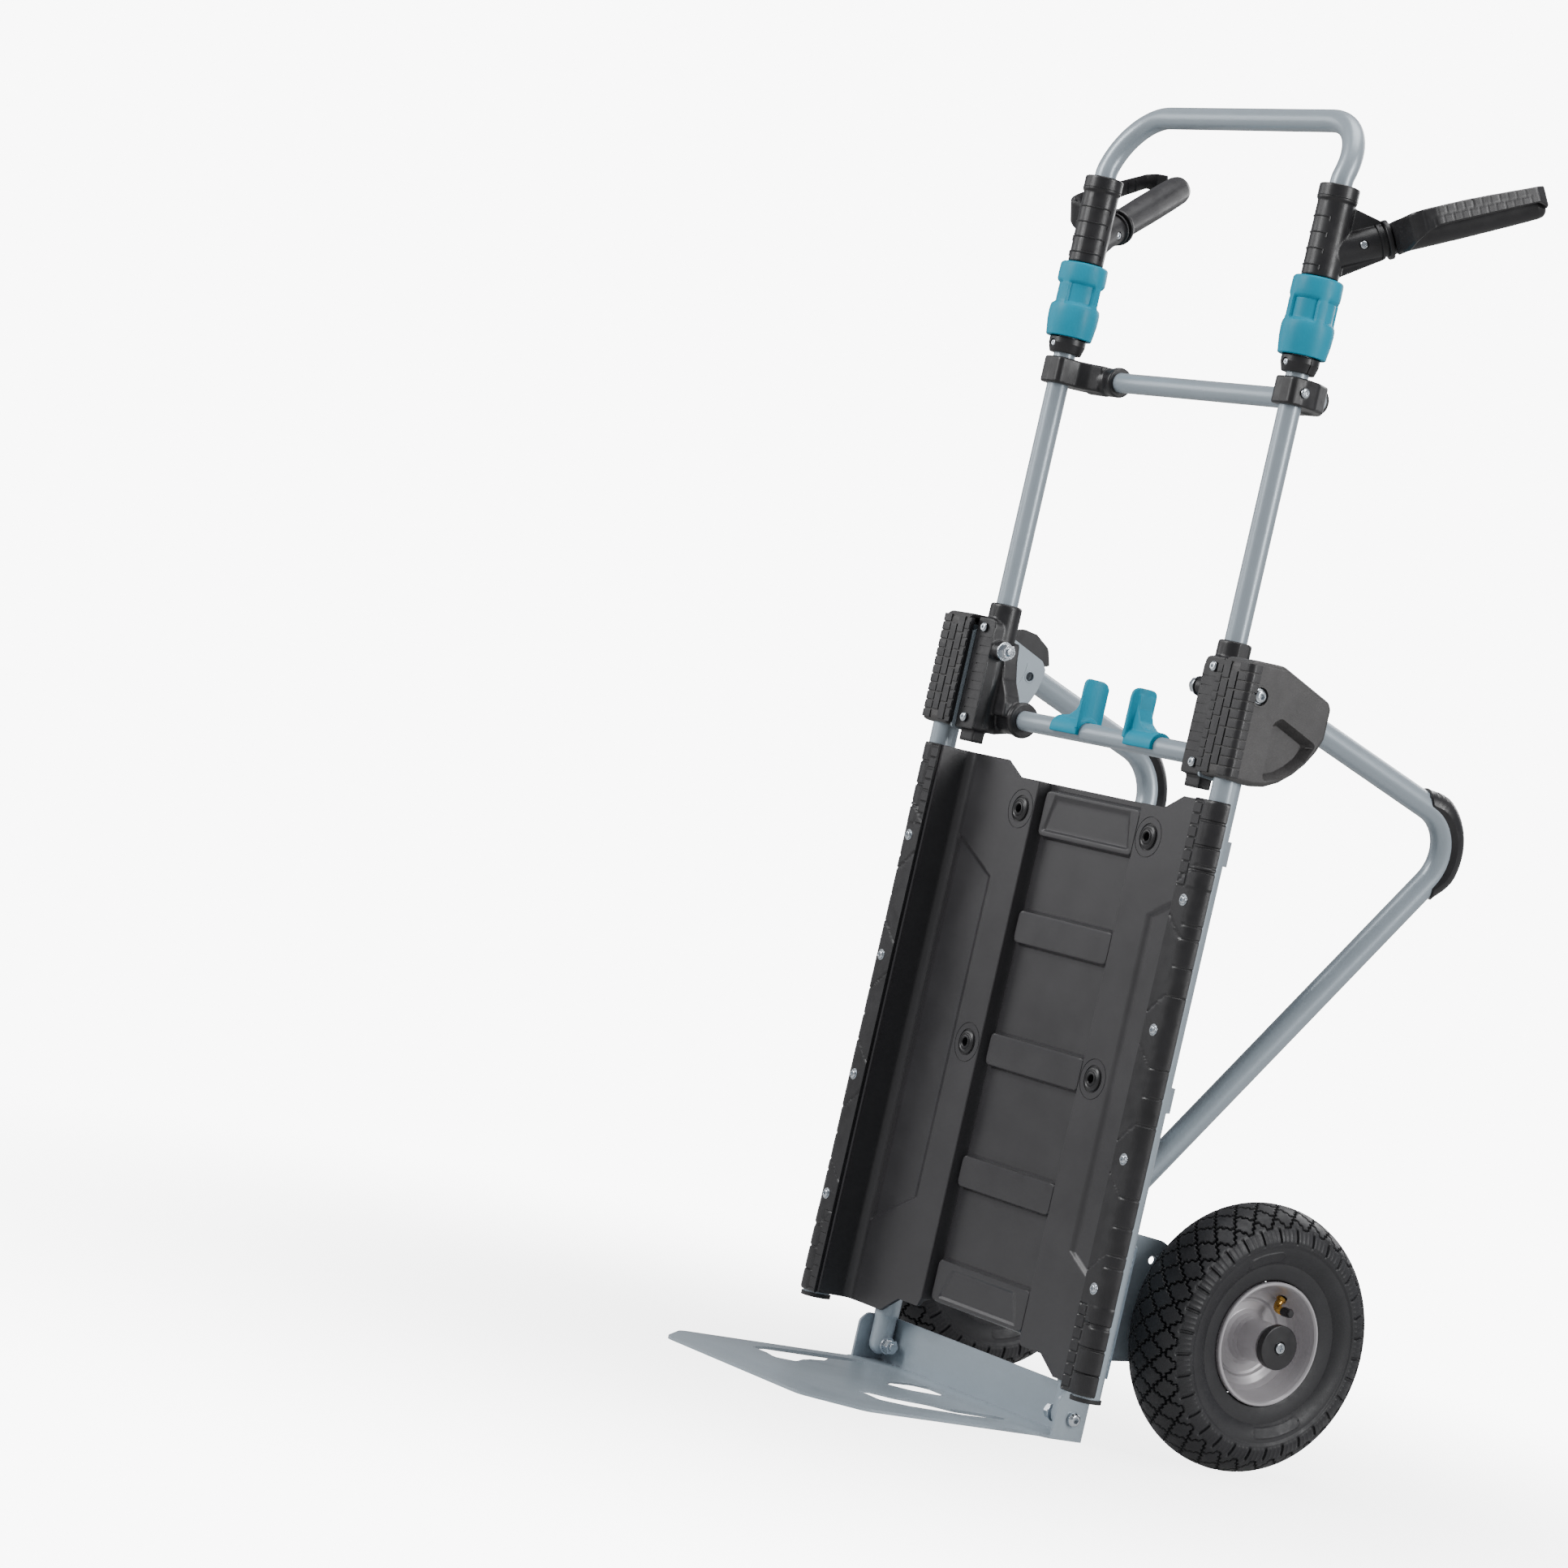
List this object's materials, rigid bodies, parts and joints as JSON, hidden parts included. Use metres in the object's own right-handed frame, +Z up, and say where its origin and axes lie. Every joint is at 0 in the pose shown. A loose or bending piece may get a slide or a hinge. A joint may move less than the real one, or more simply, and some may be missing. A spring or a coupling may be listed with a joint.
{
  "type": "convertible hand truck",
  "caption": "Folding sack truck that converts to a platform cart: pneumatic wheels, folding toe plate, plastic deck, folding bow handle with swivelling side grips and squeeze release levers.",
  "frame": {"origin": "on the floor, mid-width, on the toe plate's underside directly below the centre line of the side rails", "axes": "+X to the right seen from the load side, +Y rearward to the wheels, +Z up along the side rails"},
  "size_m": [0.617, 0.559, 1.2896],
  "materials": {
    "blue_grey_paint": "satin powder coat",
    "black_plastic": "fine-grained black moulding",
    "charcoal_plastic": "semi-matte charcoal moulding",
    "turquoise_plastic": "satin moulding",
    "zinc": "bright zinc plating",
    "tyre_rubber": "matt rubber",
    "rim_steel": "glossy warm grey paint",
    "brass": "bare"
  },
  "bodies": {
    "frame": {"left_rail": "blue_grey_paint", "right_rail": "blue_grey_paint", "left_rail_cover": "black_plastic", "right_rail_cover": "black_plastic", "rail_end_caps": "black_plastic", "cover_screws": "zinc", "deck_panel": "charcoal_plastic", "deck_grommets": "black_plastic", "cross_straps": "blue_grey_paint", "left_leg": "blue_grey_paint", "right_leg": "blue_grey_paint", "foot_covers": "black_plastic", "left_axle_bracket": "blue_grey_paint", "right_axle_bracket": "blue_grey_paint", "axle_rod": "zinc", "hub_caps": "black_plastic", "hub_cap_screws": "zinc", "left_hinge_plate": "blue_grey_paint", "right_hinge_plate": "blue_grey_paint", "left_hinge_housing": "black_plastic", "right_hinge_housing": "black_plastic", "plate_caps": "black_plastic", "hinge_bolts": "zinc", "hinge_nuts": "zinc", "toe_bolts": "zinc", "toe_nuts": "zinc"},
    "toe": {"toe_plate": "blue_grey_paint"},
    "left_wheel": {"left_tyre": "tyre_rubber", "left_rim": "rim_steel", "left_bearings": "black_plastic", "left_valve": "brass", "left_valve_cap": "black_plastic"},
    "right_wheel": {"right_tyre": "tyre_rubber", "right_rim": "rim_steel", "right_bearings": "black_plastic", "right_valve": "brass", "right_valve_cap": "black_plastic"},
    "handle": {"handle_tube": "blue_grey_paint", "left_bracket": "black_plastic", "right_bracket": "black_plastic", "bracket_screws": "zinc", "lower_crossbar": "blue_grey_paint", "upper_crossbar": "blue_grey_paint", "crossbar_clamps": "black_plastic", "clamp_rivets": "zinc", "stop_rings": "black_plastic", "stop_ring_screws": "zinc"},
    "left_lock_collar": {"left_collar": "turquoise_plastic"},
    "right_lock_collar": {"right_collar": "turquoise_plastic"},
    "left_release": {"left_lever": "turquoise_plastic", "left_lock_pin": "zinc"},
    "right_release": {"right_lever": "turquoise_plastic", "right_lock_pin": "zinc"},
    "left_grip": {"left_grip_sleeve": "black_plastic", "left_grip_bar": "black_plastic", "left_knuckle_guard": "black_plastic"},
    "right_grip": {"right_grip_sleeve": "black_plastic", "right_grip_bar": "black_plastic", "right_knuckle_guard": "black_plastic"}
  },
  "joints": [
    {"name": "handle_fold", "type": "hinge", "parent": "frame", "child": "handle", "pos_m": [0, 0, 0.724], "axis": [1, 0, 0], "range_deg": [0, 177]},
    {"name": "toe_fold", "type": "hinge", "parent": "frame", "child": "toe", "pos_m": [0, 0.0385, 0.021], "axis": [-1, 0, 0], "range_deg": [0, 90]},
    {"name": "left_wheel_spin", "type": "hinge", "parent": "frame", "child": "left_wheel", "pos_m": [-0.215, 0.189, 0.13], "axis": [1, 0, 0], "continuous": true},
    {"name": "right_wheel_spin", "type": "hinge", "parent": "frame", "child": "right_wheel", "pos_m": [0.215, 0.189, 0.13], "axis": [1, 0, 0], "continuous": true},
    {"name": "left_grip_swivel", "type": "hinge", "parent": "handle", "child": "left_grip", "pos_m": [-0.1855, 0.009, 1.144], "axis": [0, 0, -1], "range_deg": [-60, 75]},
    {"name": "right_grip_swivel", "type": "hinge", "parent": "handle", "child": "right_grip", "pos_m": [0.1855, 0.009, 1.144], "axis": [0, 0, 1], "range_deg": [-60, 75]},
    {"name": "left_collar_slide", "type": "slide", "parent": "handle", "child": "left_lock_collar", "axis": [0, 0, -1], "range_m": [0, 0.01], "stiffness_N_per_m": 500, "springref_m": -0.004},
    {"name": "right_collar_slide", "type": "slide", "parent": "handle", "child": "right_lock_collar", "axis": [0, 0, -1], "range_m": [0, 0.01], "stiffness_N_per_m": 500, "springref_m": -0.004},
    {"name": "left_lever_squeeze", "type": "slide", "parent": "handle", "child": "left_release", "axis": [1, 0, 0], "range_m": [0, 0.012], "stiffness_N_per_m": 500, "springref_m": -0.004},
    {"name": "right_lever_squeeze", "type": "slide", "parent": "handle", "child": "right_release", "axis": [-1, 0, 0], "range_m": [0, 0.012], "stiffness_N_per_m": 500, "springref_m": -0.004}
  ]
}
